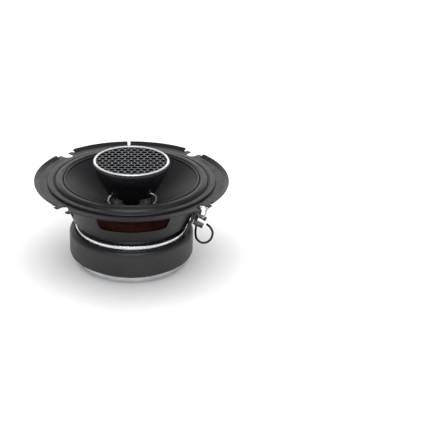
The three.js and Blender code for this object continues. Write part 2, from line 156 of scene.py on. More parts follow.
# ---- Materials -----------------------------------------------------------------------
def powder_coated_steel():
    """Pressed steel under black powder coat: an even satin with a faint orange peel."""
    material, tree, bsdf, place = surface("powder_coated_steel", {"IOR": 1.42})
    cloud = noise(tree, place, 14)
    peel = noise(tree, place, 0.9, 2.0)
    tree.links.new(tint(tree, cloud, "#101012", "#171719"), bsdf.inputs["Base Color"])
    tree.links.new(between(tree, noise(tree, place, 5), 0.36, 0.46), bsdf.inputs["Roughness"])
    tree.links.new(relief(tree, peel, 0.02), bsdf.inputs["Normal"])
    return material


def butyl_rubber():
    """Moulded butyl: black with a soft sheen and a fine matt skin."""
    material, tree, bsdf, place = surface("butyl_rubber", {"IOR": 1.52})
    tree.links.new(tint(tree, noise(tree, place, 9), "#0c0c0e", "#141416"), bsdf.inputs["Base Color"])
    tree.links.new(between(tree, noise(tree, place, 2.5), 0.36, 0.48), bsdf.inputs["Roughness"])
    tree.links.new(relief(tree, noise(tree, place, 0.5), 0.012), bsdf.inputs["Normal"])
    return material


def nitrile_rubber():
    """Moulded nitrile boot: dark grey-black, satin, with a spark-eroded texture of 0.6 mm."""
    material, tree, bsdf, place = surface("nitrile_rubber", {"IOR": 1.5})
    tree.links.new(tint(tree, noise(tree, place, 12), "#1c1b1d", "#242225"), bsdf.inputs["Base Color"])
    tree.links.new(between(tree, noise(tree, place, 4), 0.4, 0.52), bsdf.inputs["Roughness"])
    tree.links.new(relief(tree, noise(tree, place, 0.6, 4.0, 0.6), 0.03), bsdf.inputs["Normal"])
    return material


def pressed_pulp():
    """Black pressed paper pulp: fibres 3 mm long lie all ways and catch a dull light."""
    material, tree, bsdf, place = surface("pressed_pulp", {"IOR": 1.36})
    stretched = add(
        tree, "ShaderNodeMapping", inputs={"Vector": place, "Rotation": (0, 0, 0.6), "Scale": (1, 4, 1)}
    ).outputs["Vector"]
    crossed = add(
        tree, "ShaderNodeMapping", inputs={"Vector": place, "Rotation": (0, 0, -0.8), "Scale": (4, 1, 1)}
    ).outputs["Vector"]
    fibres = add(
        tree,
        "ShaderNodeMath",
        {"operation": "MAXIMUM"},
        {0: noise(tree, stretched, 3.0, 5.0, 0.6), 1: noise(tree, crossed, 3.0, 5.0, 0.6)},
    ).outputs[0]
    tree.links.new(tint(tree, fibres, "#0b0b0d", "#151519"), bsdf.inputs["Base Color"])
    tree.links.new(between(tree, fibres, 0.42, 0.58), bsdf.inputs["Roughness"])
    tree.links.new(relief(tree, fibres, 0.05), bsdf.inputs["Normal"])
    return material


def phenolic_cotton():
    """Cotton dipped in phenolic resin: a red-brown weave, threads 0.6 mm apart."""
    shader = {"IOR": 1.5, "Sheen Weight": 0.2, "Sheen Roughness": 0.5}
    material, tree, bsdf, place = surface("phenolic_cotton", shader)
    threads = weave(tree, place, 0.6)
    cloth = tint(tree, noise(tree, place, 6), "#b8604a", "#cc7a60")
    shaded = add(
        tree,
        "ShaderNodeMix",
        {"data_type": "RGBA", "blend_type": "MULTIPLY"},
        {"Factor": 0.3, "A": cloth, "B": threads},
    )
    tree.links.new(shaded.outputs["Result"], bsdf.inputs["Base Color"])
    tree.links.new(between(tree, threads, 0.7, 0.85), bsdf.inputs["Roughness"])
    tree.links.new(relief(tree, threads, 0.08), bsdf.inputs["Normal"])
    return material


def zinc_plated_steel():
    """Bright zinc on turned steel: a mirror broken by tool rings, 0.7 mm apart so that they show."""
    material, tree, bsdf, place = surface("zinc_plated_steel", {"Metallic": 1.0})
    tree.links.new(tint(tree, noise(tree, place, 10), "#c9ccd0", "#e4e6e8"), bsdf.inputs["Base Color"])
    tree.links.new(between(tree, noise(tree, place, 3), 0.16, 0.3), bsdf.inputs["Roughness"])
    turned_lines = relief(tree, rings(tree, place, 0.7), 0.006)
    tree.links.new(relief(tree, noise(tree, place, 1.2), 0.008, turned_lines), bsdf.inputs["Normal"])
    return material


def nickel_plated_steel():
    """Nickel on pressed steel: slightly warm and smooth, with faint handling marks."""
    material, tree, bsdf, place = surface("nickel_plated_steel", {"Metallic": 1.0})
    tree.links.new(tint(tree, noise(tree, place, 6), "#b3b0a8", "#cac7bf"), bsdf.inputs["Base Color"])
    tree.links.new(between(tree, noise(tree, place, 2), 0.2, 0.36), bsdf.inputs["Roughness"])
    tree.links.new(relief(tree, noise(tree, place, 0.8), 0.006), bsdf.inputs["Normal"])
    return material


def sintered_ferrite():
    """Sintered ferrite: a dull grey-black ceramic with grains and chips of 0.4 mm."""
    material, tree, bsdf, place = surface("sintered_ferrite", {"IOR": 1.9})
    grains = noise(tree, place, 0.4, 5.0, 0.7)
    tree.links.new(tint(tree, grains, "#1d1d1f", "#303033"), bsdf.inputs["Base Color"])
    tree.links.new(between(tree, grains, 0.6, 0.8), bsdf.inputs["Roughness"])
    tree.links.new(relief(tree, grains, 0.04), bsdf.inputs["Normal"])
    return material


def moulded_abs():
    """Black ABS from a polished mould: smooth and slightly glossy."""
    material, tree, bsdf, place = surface("moulded_abs", {"IOR": 1.54})
    tree.links.new(tint(tree, noise(tree, place, 8), "#1c1b1e", "#262529"), bsdf.inputs["Base Color"])
    tree.links.new(between(tree, noise(tree, place, 3), 0.26, 0.36), bsdf.inputs["Roughness"])
    tree.links.new(relief(tree, noise(tree, place, 1.0), 0.008), bsdf.inputs["Normal"])
    return material


def silver_lacquer():
    """Silver lacquer over ABS: bright satin with metal flakes of 0.25 mm."""
    material, tree, bsdf, place = surface("silver_lacquer", {"Metallic": 0.55, "IOR": 1.5})
    values = {"Vector": place, "Scale": 1 / (0.25 * MM)}
    flakes = add(tree, "ShaderNodeTexVoronoi", inputs=values).outputs["Color"]
    sparkle = add(tree, "ShaderNodeSeparateColor", inputs={"Color": flakes}).outputs["Red"]
    silver = tint(tree, sparkle, "#d8d9da", "#f2f3f3")
    chosen = (*bpy.context.scene.speaker_sizes.ring_tint, 1.0)
    settings = {"data_type": "RGBA", "blend_type": "MULTIPLY"}
    lacquer = add(tree, "ShaderNodeMix", settings, {"Factor": 1.0, "A": silver, "B": chosen})
    tree.links.new(lacquer.outputs["Result"], bsdf.inputs["Base Color"])
    tree.links.new(between(tree, sparkle, 0.26, 0.38), bsdf.inputs["Roughness"])
    tree.links.new(relief(tree, noise(tree, place, 1.0), 0.006), bsdf.inputs["Normal"])
    return material


def punched_steel():
    """Punched grey sheet: light satin webs, with painted shade: the walls inside the holes are coloured
    near-black.
    """
    material, tree, bsdf, place = surface("punched_steel", {"Metallic": 0.3, "IOR": 1.5})
    # Painted shade: below the sheet's face at 73.2 mm, the hole walls take the near-black #0b0b0c instead of
    # the grey.
    height = add(tree, "ShaderNodeSeparateXYZ", inputs={0: place}).outputs["Z"]
    limits = {"Value": height, "From Min": 73.2 * MM, "From Max": 73.38 * MM}
    painted = add(tree, "ShaderNodeMapRange", inputs=limits).outputs["Result"]
    paint = tint(tree, noise(tree, place, 3), "#4a4c4f", "#66686b")
    coat = add(
        tree, "ShaderNodeMix", {"data_type": "RGBA"}, {"Factor": painted, "A": linear("#0b0b0c"), "B": paint}
    )
    tree.links.new(coat.outputs["Result"], bsdf.inputs["Base Color"])
    tree.links.new(between(tree, noise(tree, place, 1.5), 0.3, 0.42), bsdf.inputs["Roughness"])
    tree.links.new(relief(tree, noise(tree, place, 0.5), 0.01), bsdf.inputs["Normal"])
    return material


def coated_silk():
    """Doped silk: a dark weave, drawn coarse at 0.35 mm so that it shows, under a tacky coat."""
    shader = {"IOR": 1.46, "Sheen Weight": 0.3, "Sheen Roughness": 0.4}
    material, tree, bsdf, place = surface("coated_silk", shader)
    threads = weave(tree, place, 0.35)
    tree.links.new(tint(tree, threads, "#101013", "#1d1d22"), bsdf.inputs["Base Color"])
    tree.links.new(between(tree, threads, 0.38, 0.55), bsdf.inputs["Roughness"])
    tree.links.new(relief(tree, threads, 0.03), bsdf.inputs["Normal"])
    return material


def wool_felt():
    """Black wool felt: matt, with loose hairs about 1 mm long."""
    shader = {"IOR": 1.4, "Sheen Weight": 0.5, "Sheen Roughness": 0.7}
    material, tree, bsdf, place = surface("wool_felt", shader)
    hairs = noise(tree, place, 0.9, 8.0, 0.75)
    tree.links.new(tint(tree, hairs, "#0d0d0f", "#222226"), bsdf.inputs["Base Color"])
    tree.links.new(between(tree, hairs, 0.85, 0.98), bsdf.inputs["Roughness"])
    tree.links.new(relief(tree, hairs, 0.15), bsdf.inputs["Normal"])
    return material


def polyimide_film():
    """Black polyimide film: glossy and slightly uneven in tone."""
    material, tree, bsdf, place = surface("polyimide_film", {"IOR": 1.7, "Coat Weight": 0.1})
    tree.links.new(tint(tree, noise(tree, place, 5), "#120f0e", "#1d1816"), bsdf.inputs["Base Color"])
    tree.links.new(between(tree, noise(tree, place, 2), 0.2, 0.34), bsdf.inputs["Roughness"])
    tree.links.new(relief(tree, noise(tree, place, 1.5), 0.01), bsdf.inputs["Normal"])
    return material


def enamelled_copper():
    """Enamelled copper winding: turns of wire 0.25 mm thick, stacked along Z."""
    material, tree, bsdf, place = surface("enamelled_copper", {"Metallic": 1.0, "Coat Weight": 0.4})
    settings = {"wave_type": "BANDS", "bands_direction": "Z", "wave_profile": "SIN"}
    values = {"Vector": place, "Scale": 0.314 / (0.25 * MM)}
    turns = add(tree, "ShaderNodeTexWave", settings, values).outputs["Fac"]
    tree.links.new(tint(tree, turns, "#7c3c1c", "#c87440"), bsdf.inputs["Base Color"])
    tree.links.new(between(tree, turns, 0.25, 0.4), bsdf.inputs["Roughness"])
    tree.links.new(relief(tree, turns, 0.06), bsdf.inputs["Normal"])
    return material


def stamped_brass():
    """Stamped brass under dull, darkened tin: a dark warm metal, with rolling marks along the strip."""
    material, tree, bsdf, place = surface("stamped_brass", {"Metallic": 1.0})
    strip = add(tree, "ShaderNodeMapping", inputs={"Vector": place, "Scale": (1, 1, 8)}).outputs["Vector"]
    marks = noise(tree, strip, 2.0, 4.0)
    tree.links.new(tint(tree, marks, "#2c2a28", "#403d39"), bsdf.inputs["Base Color"])
    tree.links.new(between(tree, marks, 0.22, 0.36), bsdf.inputs["Roughness"])
    tree.links.new(relief(tree, marks, 0.01), bsdf.inputs["Normal"])
    return material


def tinned_braid():
    """Tinned copper tinsel: bright strands, with the lay of the twist every 0.5 mm."""
    material, tree, bsdf, place = surface("tinned_braid", {"Metallic": 0.6})
    strands = noise(tree, place, 0.5, 4.0, 0.7)
    tree.links.new(tint(tree, strands, "#cdd0d2", "#f2f3f4"), bsdf.inputs["Base Color"])
    tree.links.new(between(tree, strands, 0.28, 0.44), bsdf.inputs["Roughness"])
    tree.links.new(relief(tree, strands, 0.03), bsdf.inputs["Normal"])
    return material


def pvc_sleeve():
    """Black PVC, extruded or shrunk on: glossy, with slow waves where it gripped."""
    material, tree, bsdf, place = surface("pvc_sleeve", {"IOR": 1.54, "Coat Weight": 0.2})
    tree.links.new(tint(tree, noise(tree, place, 4), "#08080a", "#101013"), bsdf.inputs["Base Color"])
    tree.links.new(between(tree, noise(tree, place, 1.5), 0.2, 0.32), bsdf.inputs["Roughness"])
    tree.links.new(relief(tree, noise(tree, place, 2.2), 0.012), bsdf.inputs["Normal"])
    return material


def phenolic_board():
    """Laminated paper board: dark violet-brown, matt, with layers of fibre showing."""
    material, tree, bsdf, place = surface("phenolic_board", {"IOR": 1.55})
    layers = add(tree, "ShaderNodeMapping", inputs={"Vector": place, "Scale": (3, 1, 1)}).outputs["Vector"]
    fibre = noise(tree, layers, 1.6, 6.0, 0.65)
    tree.links.new(tint(tree, fibre, "#141217", "#201e24"), bsdf.inputs["Base Color"])
    tree.links.new(between(tree, fibre, 0.42, 0.56), bsdf.inputs["Roughness"])
    tree.links.new(relief(tree, fibre, 0.02), bsdf.inputs["Normal"])
    return material


def matt_backdrop():
    """Seamless studio paper: a matt neutral white with faint clouds."""
    material, tree, bsdf, place = surface("matt_backdrop", {"Roughness": 0.9, "Specular IOR Level": 0.2})
    tree.links.new(tint(tree, noise(tree, place, 60), "#f2f2f2", "#f6f6f6"), bsdf.inputs["Base Color"])
    return material


FINISHES = {
    "black_steel": powder_coated_steel,
    "zinc_steel": zinc_plated_steel,
    "ferrite": sintered_ferrite,
    "boot_rubber": nitrile_rubber,
    "surround_rubber": butyl_rubber,
    "cone_pulp": pressed_pulp,
    "coil_former": polyimide_film,
    "copper_wire": enamelled_copper,
    "spider_cloth": phenolic_cotton,
    "felt": wool_felt,
    "black_plastic": moulded_abs,
    "silver_paint": silver_lacquer,
    "grille_steel": punched_steel,
    "silk": coated_silk,
    "nickel_plate": nickel_plated_steel,
    "terminal_brass": stamped_brass,
    "tinsel": tinned_braid,
    "black_sleeve": pvc_sleeve,
}


def finish_for(slot_name):
    """The material of a slot of the record, made once."""
    maker = FINISHES[slot_name]
    return bpy.data.materials.get(maker.__name__) or maker()


# ---- Meshes --------------------------------------------------------------------------
def piece_from(name, bm):
    """A new object at the origin with that mesh, its faces turned outward."""
    bmesh.ops.remove_doubles(bm, verts=bm.verts, dist=1e-7)
    bmesh.ops.recalc_face_normals(bm, faces=bm.faces)
    mesh = bpy.data.meshes.new(name)
    bm.to_mesh(mesh)
    bm.free()
    piece = bpy.data.objects.new(name, mesh)
    bpy.context.scene.collection.objects.link(piece)
    return piece


def softened(outline, reach=0.25):
    """The outline in mm with each corner taken off in a small curve."""
    made = []
    count = len(outline)
    for i, corner in enumerate(outline):
        here = Vector(corner)
        ends = [Vector(outline[i - 1]), Vector(outline[(i + 1) % count])]
        if here.x < 0.01:
            made.append(tuple(here))
            continue
        pulls = []
        for end in ends:
            away = end - here
            pulls.append(here + away.normalized() * min(reach, away.length * 0.4))
        for t in (0.0, 0.5, 1.0):
            point = pulls[0] * (1 - t) ** 2 + here * (2 * t * (1 - t)) + pulls[1] * t**2
            made.append(tuple(point))
    return made


def turned(name, outline, steps=AROUND, closed=True):
    """A piece turned about Z from an outline of (radius, height) in mm.
    An open outline starts and ends on the axis."""
    bm = bmesh.new()
    loops = []
    for r, z in outline:
        if r < 1e-4:
            loops.append([bm.verts.new((0, 0, z * MM))])
            continue
        angles = [2 * math.pi * i / steps for i in range(steps)]
        loops.append([bm.verts.new((r * MM * math.cos(a), r * MM * math.sin(a), z * MM)) for a in angles])
    pairs = list(zip(loops, loops[1:] + ([loops[0]] if closed else [])))
    for low, high in pairs:
        for i in range(steps):
            j = (i + 1) % steps
            corners = [low[i % len(low)], low[j % len(low)], high[j % len(high)], high[i % len(high)]]
            unique = list(dict.fromkeys(corners))
            if len(unique) > 2:
                bm.faces.new(unique)
    return piece_from(name, bm)


def smooth(piece, sharp_degrees=40):
    """Shades a piece smooth, but keeps its edges sharper than that angle."""
    for face in piece.data.polygons:
        face.use_smooth = True
    piece.data.set_sharp_from_angle(angle=math.radians(sharp_degrees))


def dressed(piece, nodes, slot_name, body=FRAME):
    """Gives a piece its finish, hides the CAD nodes it stands for, and rides it on a body."""
    piece.data.materials.clear()
    piece.data.materials.append(finish_for(slot_name))
    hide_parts(*nodes)
    if body:
        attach(piece, body)
    return piece


def settled(piece):
    """The piece with its modifiers worked into a plain mesh."""
    graph = bpy.context.evaluated_depsgraph_get()
    made = bpy.data.meshes.new_from_object(piece.evaluated_get(graph))
    piece.modifiers.clear()
    old, piece.data = piece.data, made
    bpy.data.meshes.remove(old)
    return piece


def cut_away(piece, cutters):
    """Takes solids away from a piece."""
    for cutter in cutters:
        modifier = piece.modifiers.new("cut", "BOOLEAN")
        modifier.object = cutter
        modifier.operation = "DIFFERENCE"
        modifier.solver = "EXACT"
    bpy.context.view_layer.update()
    settled(piece)
    for cutter in cutters:
        bpy.data.objects.remove(cutter)
    return piece


def prism(name, outline, low, high, turn):
    """A straight prism on a plan outline in mm, from one height to another, turned about Z."""
    bm = bmesh.new()
    floor = [bm.verts.new((x * MM, y * MM, low * MM)) for x, y in outline]
    roof = [bm.verts.new((x * MM, y * MM, high * MM)) for x, y in outline]
    bm.faces.new(floor[::-1])
    bm.faces.new(roof)
    count = len(outline)
    for i in range(count):
        bm.faces.new([floor[i], floor[(i + 1) % count], roof[(i + 1) % count], roof[i]])
    bmesh.ops.rotate(bm, verts=bm.verts, matrix=Matrix.Rotation(math.radians(turn), 3, "Z"))
    return piece_from(name, bm)


def arc(x, y, radius, start, end, steps):
    """Points on an arc about a centre, from one angle in degrees to another."""
    angles = [math.radians(start + (end - start) * i / steps) for i in range(steps + 1)]
    return [(x + radius * math.cos(a), y + radius * math.sin(a)) for a in angles]


def copied(name, node, bevel_mm=0.0):
    """A merged copy of a CAD node, its edges broken by a small bevel."""
    bm = bmesh.new()
    bm.from_mesh(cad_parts[node].data)
    bmesh.ops.remove_doubles(bm, verts=bm.verts, dist=1e-6)
    bmesh.ops.dissolve_limit(bm, angle_limit=math.radians(2), verts=bm.verts, edges=bm.edges)
    if bevel_mm:
        sharp = [e for e in bm.edges if len(e.link_faces) == 2 and e.calc_face_angle(0) > math.radians(50)]
        bmesh.ops.bevel(
            bm,
            geom=sharp,
            offset=bevel_mm * MM,
            segments=2,
            profile=0.5,
            affect="EDGES",
            clamp_overlap=True,
        )
    bmesh.ops.triangulate(bm, faces=[f for f in bm.faces if len(f.verts) > 4])
    return piece_from(name, bm)


def polar(angle, r, z):
    """A point at an angle in degrees, a distance from the axis and a height, both in mm."""
    a = math.radians(angle)
    return Vector((r * math.cos(a), r * math.sin(a), z)) * MM


def flowing(points, steps):
    """A Catmull-Rom line of even steps through points."""
    ends = [points[0] * 2 - points[1], *points, points[-1] * 2 - points[-2]]
    dense = []
    for i in range(len(points) - 1):
        a, b, c, d = ends[i : i + 4]
        for k in range(16):
            t = k / 16
            bend = (2 * a - 5 * b + 4 * c - d) * t**2 + (3 * b - a - 3 * c + d) * t**3
            dense.append(0.5 * ((2 * b) + (c - a) * t + bend))
    dense.append(points[-1])
    lengths = [0.0]
    for a, b in zip(dense, dense[1:]):
        lengths.append(lengths[-1] + (b - a).length)
    line, at = [], 0
    for i in range(steps + 1):
        want = lengths[-1] * i / steps
        while at < len(dense) - 2 and lengths[at + 1] < want:
            at += 1
        share = (want - lengths[at]) / max(lengths[at + 1] - lengths[at], 1e-12)
        line.append(dense[at].lerp(dense[at + 1], min(1.0, share)))
    return line, lengths[-1]


def tube(bm, line, radius, sides=12):
    """Adds a closed round tube along a line."""
    side = Vector((0, 0, 1)).cross(line[1] - line[0])
    side = side if side.length > 1e-9 else Vector((1, 0, 0))
    loops = []
    for i, point in enumerate(line):
        along = (line[min(i + 1, len(line) - 1)] - line[max(i - 1, 0)]).normalized()
        side = (side - along * side.dot(along)).normalized()
        up = along.cross(side)
        angles = [2 * math.pi * k / sides for k in range(sides)]
        loops.append([bm.verts.new(point + (side * math.cos(a) + up * math.sin(a)) * radius) for a in angles])
    for low, high in zip(loops, loops[1:]):
        for k in range(sides):
            m = (k + 1) % sides
            bm.faces.new([low[k], low[m], high[m], high[k]])
    bm.faces.new(loops[0][::-1])
    bm.faces.new(loops[-1])


def twisted(name, line, radius, strands=3, lay_mm=2.4):
    """Strands laid round each other along a line, as one mesh."""
    bm = bmesh.new()
    length = sum((b - a).length for a, b in zip(line, line[1:]))
    strand = radius * 0.52
    side = Vector((0, 0, 1)).cross(line[1] - line[0]).normalized()
    frames = []
    for i, point in enumerate(line):
        along = (line[min(i + 1, len(line) - 1)] - line[max(i - 1, 0)]).normalized()
        side = (side - along * side.dot(along)).normalized()
        frames.append((point, side, along.cross(side)))
    for s in range(strands):
        path = []
        for i, (point, across, up) in enumerate(frames):
            a = 2 * math.pi * (s / strands + length * i / (len(line) - 1) / (lay_mm * MM))
            path.append(point + (across * math.cos(a) + up * math.sin(a)) * (radius - strand))
        tube(bm, path, strand, 6)
    return piece_from(name, bm)


def set_follow(piece):
    """Bakes a piece's placement into its mesh."""
    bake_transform(piece)


def eased(value, at_zero, at_one):
    """A smooth step from 0 to 1 as a value goes from one end to the other."""
    t = min(1.0, max(0.0, (value - at_zero) / (at_one - at_zero)))
    return t * t * (3 - 2 * t)


# ---- Geometry Nodes ------------------------------------------------------------------
def node_tree(name, inputs):
    """A Geometry Nodes tree with named size inputs. Returns it with its group input node."""
    tree = bpy.data.node_groups.new(name, "GeometryNodeTree")
    tree.interface.new_socket("Geometry", in_out="INPUT", socket_type="NodeSocketGeometry")
    for label, kind, value in inputs:
        socket = tree.interface.new_socket(label, in_out="INPUT", socket_type=kind)
        if value is not None:
            socket.default_value = value
    tree.interface.new_socket("Geometry", in_out="OUTPUT", socket_type="NodeSocketGeometry")
    return tree, add(tree, "NodeGroupInput")


def end_tree(tree, given, geometry):
    """Ends a tree in Realize Instances and Set Material."""
    whole = add(tree, "GeometryNodeRealizeInstances", inputs={"Geometry": geometry})
    painted = add(
        tree,
        "GeometryNodeSetMaterial",
        inputs={"Geometry": whole.outputs[0], "Material": given.outputs["Finish"]},
    )
    add(tree, "NodeGroupOutput", inputs={"Geometry": painted.outputs[0]})


def grown(name, tree, values):
    """A plain mesh piece grown by a Geometry Nodes tree with those input values."""
    piece = bpy.data.objects.new(name, bpy.data.meshes.new(name))
    bpy.context.scene.collection.objects.link(piece)
    modifier = piece.modifiers.new(name, "NODES")
    modifier.node_group = tree
    for item in tree.interface.items_tree:
        if item.item_type == "SOCKET" and item.in_out == "INPUT" and item.name in values:
            modifier[item.identifier] = values[item.name]
    settled(piece)
    bm = bmesh.new()
    bm.from_mesh(piece.data)
    bmesh.ops.remove_doubles(bm, verts=bm.verts, dist=1e-7)
    bmesh.ops.recalc_face_normals(bm, faces=bm.faces)
    bm.to_mesh(piece.data)
    bm.free()
    return piece


def math_node(tree, operation, *values):
    """A sum of numbers or sockets, as a socket."""
    return add(tree, "ShaderNodeMath", {"operation": operation}, dict(enumerate(values))).outputs[0]


def perforation_tree():
    """A round plate with hexagonal holes in offset rows."""
    tree, given = node_tree(
        "hexagon_perforations",
        [
            ("Plate Radius", "NodeSocketFloat", 0.0239),
            ("Thickness", "NodeSocketFloat", 0.0012),
            ("Pitch", "NodeSocketFloat", 0.00436),
            ("Web", "NodeSocketFloat", 0.00062),
            ("Height", "NodeSocketFloat", 0.0734),
            ("Finish", "NodeSocketMaterial", None),
        ],
    )
    pitch = given.outputs["Pitch"]
    row_step = math_node(tree, "MULTIPLY", pitch, math.sqrt(3) / 2)
    rows, columns = 15, 15
    grid = add(
        tree,
        "GeometryNodeMeshGrid",
        inputs={
            "Size X": math_node(tree, "MULTIPLY", pitch, columns - 1),
            "Size Y": math_node(tree, "MULTIPLY", row_step, rows - 1),
            "Vertices X": columns,
            "Vertices Y": rows,
        },
    ).outputs["Mesh"]
    where = add(tree, "ShaderNodeSeparateXYZ", inputs={0: add(tree, "GeometryNodeInputPosition").outputs[0]})
    row = math_node(tree, "ROUND", math_node(tree, "DIVIDE", where.outputs["Y"], row_step))
    odd = math_node(tree, "ABSOLUTE", math_node(tree, "MODULO", row, 2.0))
    aside = math_node(tree, "MULTIPLY", math_node(tree, "MULTIPLY", odd, 0.5), pitch)
    offset = add(tree, "ShaderNodeCombineXYZ", inputs={"X": aside, "Z": given.outputs["Height"]})
    shifted = add(tree, "GeometryNodeSetPosition", inputs={"Geometry": grid, "Offset": offset.outputs[0]})
    hole_radius = math_node(
        tree, "DIVIDE", math_node(tree, "SUBTRACT", pitch, given.outputs["Web"]), math.sqrt(3)
    )
    flat = add(
        tree,
        "ShaderNodeVectorMath",
        {"operation": "MULTIPLY"},
        {0: add(tree, "GeometryNodeInputPosition").outputs[0], 1: (1, 1, 0)},
    )
    far = add(tree, "ShaderNodeVectorMath", {"operation": "LENGTH"}, {0: flat.outputs[0]}).outputs["Value"]
    past_edge = math_node(tree, "MULTIPLY", hole_radius, 0.2)
    limit = math_node(tree, "ADD", given.outputs["Plate Radius"], past_edge)
    inside = add(
        tree, "FunctionNodeCompare", {"data_type": "FLOAT", "operation": "LESS_THAN"}, {"A": far, "B": limit}
    )
    punch = add(
        tree,
        "GeometryNodeMeshCylinder",
        inputs={
            "Vertices": 6,
            "Radius": hole_radius,
            "Depth": math_node(tree, "MULTIPLY", given.outputs["Thickness"], 4.0),
        },
    ).outputs["Mesh"]
    turned_punch = add(
        tree, "GeometryNodeTransform", inputs={"Geometry": punch, "Rotation": (0, 0, math.radians(30))}
    )
    punches = add(
        tree,
        "GeometryNodeInstanceOnPoints",
        inputs={
            "Points": shifted.outputs[0],
            "Selection": inside.outputs["Result"],
            "Instance": turned_punch.outputs[0],
        },
    )
    whole_punches = add(tree, "GeometryNodeRealizeInstances", inputs={"Geometry": punches.outputs[0]})
    plate = add(
        tree,
        "GeometryNodeMeshCylinder",
        inputs={"Vertices": 96, "Radius": given.outputs["Plate Radius"], "Depth": given.outputs["Thickness"]},
    ).outputs["Mesh"]
    half_thick = math_node(tree, "MULTIPLY", given.outputs["Thickness"], 0.5)
    middle = math_node(tree, "SUBTRACT", given.outputs["Height"], half_thick)
    lift = add(tree, "ShaderNodeCombineXYZ", inputs={"Z": middle})
    raised = add(tree, "GeometryNodeTransform", inputs={"Geometry": plate, "Translation": lift.outputs[0]})
    holed = add(tree, "GeometryNodeMeshBoolean", {"operation": "DIFFERENCE"}, {"Mesh 1": raised.outputs[0]})
    tree.links.new(whole_punches.outputs[0], holed.inputs["Mesh 2"])
    end_tree(tree, given, holed.outputs["Mesh"])
    return tree


def rivet_ring_tree():
    """Round-headed rivets stood on a circle."""
    tree, given = node_tree(
        "rivet_circle",
        [
            ("Circle Radius", "NodeSocketFloat", 0.028),
            ("Count", "NodeSocketInt", 4),
            ("Turn", "NodeSocketFloat", 0.35),
            ("Head Radius", "NodeSocketFloat", 0.0028),
            ("Head Height", "NodeSocketFloat", 0.001),
            ("Height", "NodeSocketFloat", 0.0298),
            ("Finish", "NodeSocketMaterial", None),
        ],
    )
    circle = add(
        tree,
        "GeometryNodeMeshCircle",
        inputs={"Vertices": given.outputs["Count"], "Radius": given.outputs["Circle Radius"]},
    )
    angle = add(tree, "ShaderNodeCombineXYZ", inputs={"Z": given.outputs["Turn"]})
    lift = add(tree, "ShaderNodeCombineXYZ", inputs={"Z": given.outputs["Height"]})
    stood = add(
        tree,
        "GeometryNodeTransform",
        inputs={"Geometry": circle.outputs[0], "Translation": lift.outputs[0], "Rotation": angle.outputs[0]},
    )
    head_radius = given.outputs["Head Radius"]
    ball = add(
        tree, "GeometryNodeMeshUVSphere", inputs={"Segments": 24, "Rings": 12, "Radius": head_radius}
    ).outputs["Mesh"]
    height = add(tree, "ShaderNodeSeparateXYZ", inputs={0: add(tree, "GeometryNodeInputPosition").outputs[0]})
    squashed = math_node(
        tree,
        "MULTIPLY",
        math_node(tree, "MAXIMUM", height.outputs["Z"], 0.0),
        math_node(tree, "DIVIDE", given.outputs["Head Height"], head_radius),
    )
    domed_place = add(
        tree,
        "ShaderNodeCombineXYZ",
        inputs={"X": height.outputs["X"], "Y": height.outputs["Y"], "Z": squashed},
    )
    dome = add(tree, "GeometryNodeSetPosition", inputs={"Geometry": ball, "Position": domed_place.outputs[0]})
    closed = add(
        tree, "GeometryNodeMergeByDistance", inputs={"Geometry": dome.outputs[0], "Distance": 0.00001}
    )
    standing = {"Points": stood.outputs[0], "Instance": closed.outputs[0]}
    placed = add(tree, "GeometryNodeInstanceOnPoints", inputs=standing)
    end_tree(tree, given, placed.outputs[0])
    return tree


def corrugation_tree():
    """A flat ring pressed into waves along its radius, as a spider is."""
    tree, given = node_tree(
        "corrugated_ring",
        [
            ("Inner Radius", "NodeSocketFloat", 0.01305),
            ("Wave Start", "NodeSocketFloat", 0.0156),
            ("Wave End", "NodeSocketFloat", 0.0352),
            ("Outer Radius", "NodeSocketFloat", 0.0394),
            ("Waves", "NodeSocketFloat", 4.5),
            ("Rise", "NodeSocketFloat", 0.00125),
            ("Height", "NodeSocketFloat", 0.0343),
            ("Finish", "NodeSocketMaterial", None),
        ],
    )
    radial, around = 97, 145
    grid = add(
        tree,
        "GeometryNodeMeshGrid",
        inputs={"Size X": 1.0, "Size Y": 1.0, "Vertices X": radial, "Vertices Y": around},
    ).outputs["Mesh"]
    where = add(tree, "ShaderNodeSeparateXYZ", inputs={0: add(tree, "GeometryNodeInputPosition").outputs[0]})
    inner, outer = given.outputs["Inner Radius"], given.outputs["Outer Radius"]
    share = math_node(tree, "ADD", where.outputs["X"], 0.5)
    radius = math_node(tree, "MULTIPLY_ADD", share, math_node(tree, "SUBTRACT", outer, inner), inner)
    angle = math_node(tree, "MULTIPLY", where.outputs["Y"], 2 * math.pi)
    start, end = given.outputs["Wave Start"], given.outputs["Wave End"]
    limits = {"Value": radius, "From Min": start, "From Max": end}
    phase = add(tree, "ShaderNodeMapRange", inputs=limits).outputs["Result"]
    waves = math_node(tree, "MULTIPLY", phase, given.outputs["Waves"])
    turns = math_node(tree, "MULTIPLY", waves, 2 * math.pi)
    wave = math_node(tree, "MULTIPLY", math_node(tree, "SINE", turns), given.outputs["Rise"])
    drop = math_node(tree, "MULTIPLY", phase, -0.0006)
    height = math_node(tree, "ADD", math_node(tree, "ADD", given.outputs["Height"], wave), drop)
    place = add(
        tree,
        "ShaderNodeCombineXYZ",
        inputs={
            "X": math_node(tree, "MULTIPLY", radius, math_node(tree, "COSINE", angle)),
            "Y": math_node(tree, "MULTIPLY", radius, math_node(tree, "SINE", angle)),
            "Z": height,
        },
    )
    bent = add(tree, "GeometryNodeSetPosition", inputs={"Geometry": grid, "Position": place.outputs[0]})
    seam = {"Geometry": bent.outputs[0], "Distance": 0.000005}
    closed = add(tree, "GeometryNodeMergeByDistance", inputs=seam)
    end_tree(tree, given, closed.outputs[0])
    return tree


